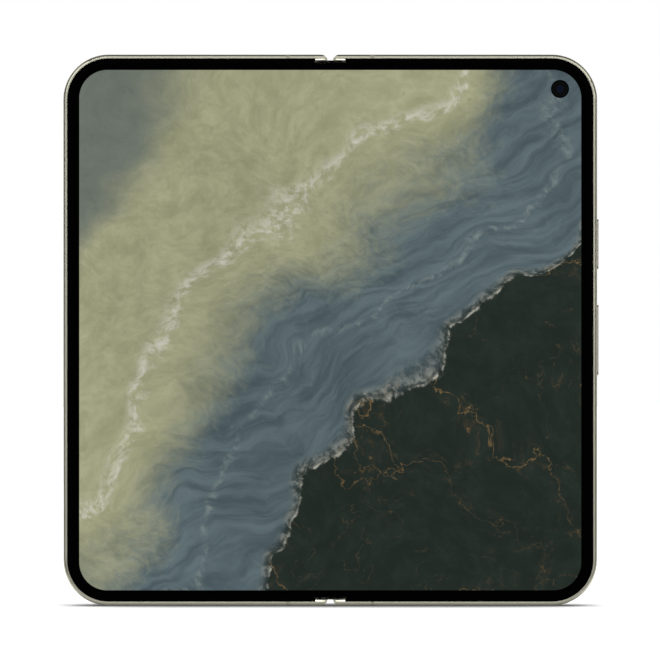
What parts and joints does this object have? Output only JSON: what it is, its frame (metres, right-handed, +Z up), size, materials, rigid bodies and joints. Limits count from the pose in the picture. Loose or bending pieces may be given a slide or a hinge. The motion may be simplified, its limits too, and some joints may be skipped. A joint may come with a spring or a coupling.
{
  "type": "foldable smartphone",
  "caption": "Book-style folding phone: two thin framed halves on a geared hinge, one inner display over the fold, rear camera island, side buttons and card tray.",
  "frame": {"origin": "bottom centre of the open phone: on the fold line, at half thickness, at the ledge that holds it upright", "axes": "+Z up the phone along the fold, -Y out of the inner display, +X to the half with the buttons"},
  "size_m": [0.1508, 0.0071, 0.1552],
  "materials": {
    "anodised_band": "satin anodised, warm grey",
    "button_metal": "satin anodised, light",
    "break_plastic": "satin moulded",
    "black_bezel": "fine matte",
    "display_panel": "gloss with a lit picture",
    "plate_steel": "rolled",
    "rear_glass": "frosted glass, backed",
    "black_glass": "gloss, backed black",
    "outer_panel": "gloss",
    "camera_black": "matte",
    "flash_diffuser": "satin",
    "cell_pouch": "satin pouch",
    "board_laminate": "solder mask",
    "coil_copper": "enamelled copper",
    "magnet_nickel": "nickel plated",
    "hinge_steel": "ground steel",
    "brass_gear": "machined brass"
  },
  "bodies": {
    "main_half": {"main_frame": "anodised_band", "antenna_breaks_main": "break_plastic", "inner_bezel_main": "black_bezel", "inner_display_main": "display_panel", "display_plate_main": "plate_steel", "inner_camera": "camera_black", "back_glass": "rear_glass", "camera_island": "anodised_band", "camera_windows": "black_glass", "wide_camera": "camera_black", "ultrawide_camera": "camera_black", "telephoto_camera": "camera_black", "flash_led": "flash_diffuser", "main_battery": "cell_pouch", "logic_board": "board_laminate", "shield_cans": "plate_steel", "charging_coil": "coil_copper", "usb_port": "plate_steel", "bottom_speaker": "camera_black", "vibration_motor": "plate_steel", "button_switches": "plate_steel", "closing_magnets_main": "magnet_nickel", "hinge_arms_main": "hinge_steel", "pinion_shafts_main": "hinge_steel", "friction_washers_main": "hinge_steel", "arm_screws_main": "brass_gear"},
    "spine": {"spine_cover": "anodised_band", "hinge_bases": "hinge_steel", "hinge_base_screws": "brass_gear", "idler_pins": "hinge_steel", "fold_end_caps": "black_bezel", "display_fold": "display_panel", "fold_lattice": "plate_steel", "hinge_flex": "coil_copper"},
    "cover_half": {"cover_frame": "anodised_band", "antenna_breaks_cover": "break_plastic", "inner_bezel_cover": "black_bezel", "inner_display_cover": "display_panel", "display_plate_cover": "plate_steel", "cover_glass": "black_glass", "cover_display": "outer_panel", "cover_camera": "camera_black", "earpiece": "camera_black", "second_battery": "cell_pouch", "sub_board": "board_laminate", "sim_reader": "plate_steel", "closing_magnets_cover": "magnet_nickel", "hinge_arms_cover": "hinge_steel", "pinion_shafts_cover": "hinge_steel", "friction_washers_cover": "hinge_steel", "arm_screws_cover": "brass_gear"},
    "idler_a": {"idler_gears_a": "brass_gear"},
    "idler_b": {"idler_gears_b": "brass_gear"},
    "power_button_body": {"power_button": "button_metal"},
    "volume_rocker_body": {"volume_rocker": "button_metal"},
    "sim_tray_body": {"sim_tray": "button_metal"}
  },
  "joints": [
    {"name": "fold_main", "type": "hinge", "parent": "main_half", "child": "spine", "pos_m": [0.00215, -0.00065, 0], "axis": [0, 0, 1], "range_deg": [0, 90], "deforming": ["display_fold", "fold_lattice", "hinge_flex"]},
    {"name": "fold_cover", "type": "hinge", "parent": "spine", "child": "cover_half", "pos_m": [-0.00215, -0.00065, 0], "axis": [0, 0, 1], "range_deg": [0, 90]},
    {"name": "idler_a_spin", "type": "hinge", "parent": "spine", "child": "idler_a", "pos_m": [0.00072, -0.00065, 0], "axis": [0, 0, 1], "range_deg": [0, 90]},
    {"name": "idler_b_spin", "type": "hinge", "parent": "spine", "child": "idler_b", "pos_m": [-0.00072, -0.00065, 0], "axis": [0, 0, 1], "range_deg": [-90, 0]},
    {"name": "power_press", "type": "slide", "parent": "main_half", "child": "power_button_body", "axis": [-1, 0, 0], "range_m": [0, 0.00025], "stiffness_N_per_m": 6000, "springref_m": -0.0001},
    {"name": "volume_press", "type": "slide", "parent": "main_half", "child": "volume_rocker_body", "axis": [-1, 0, 0], "range_m": [0, 0.00025], "stiffness_N_per_m": 6000, "springref_m": -0.0001},
    {"name": "sim_slide", "type": "slide", "parent": "cover_half", "child": "sim_tray_body", "axis": [-1, 0, 0], "range_m": [0, 0.02]}
  ],
  "couplings": [
    {"joint": "fold_cover", "follows": "fold_main", "ratio": 1},
    {"joint": "idler_a_spin", "follows": "fold_main", "ratio": 1},
    {"joint": "idler_b_spin", "follows": "fold_main", "ratio": -1}
  ]
}
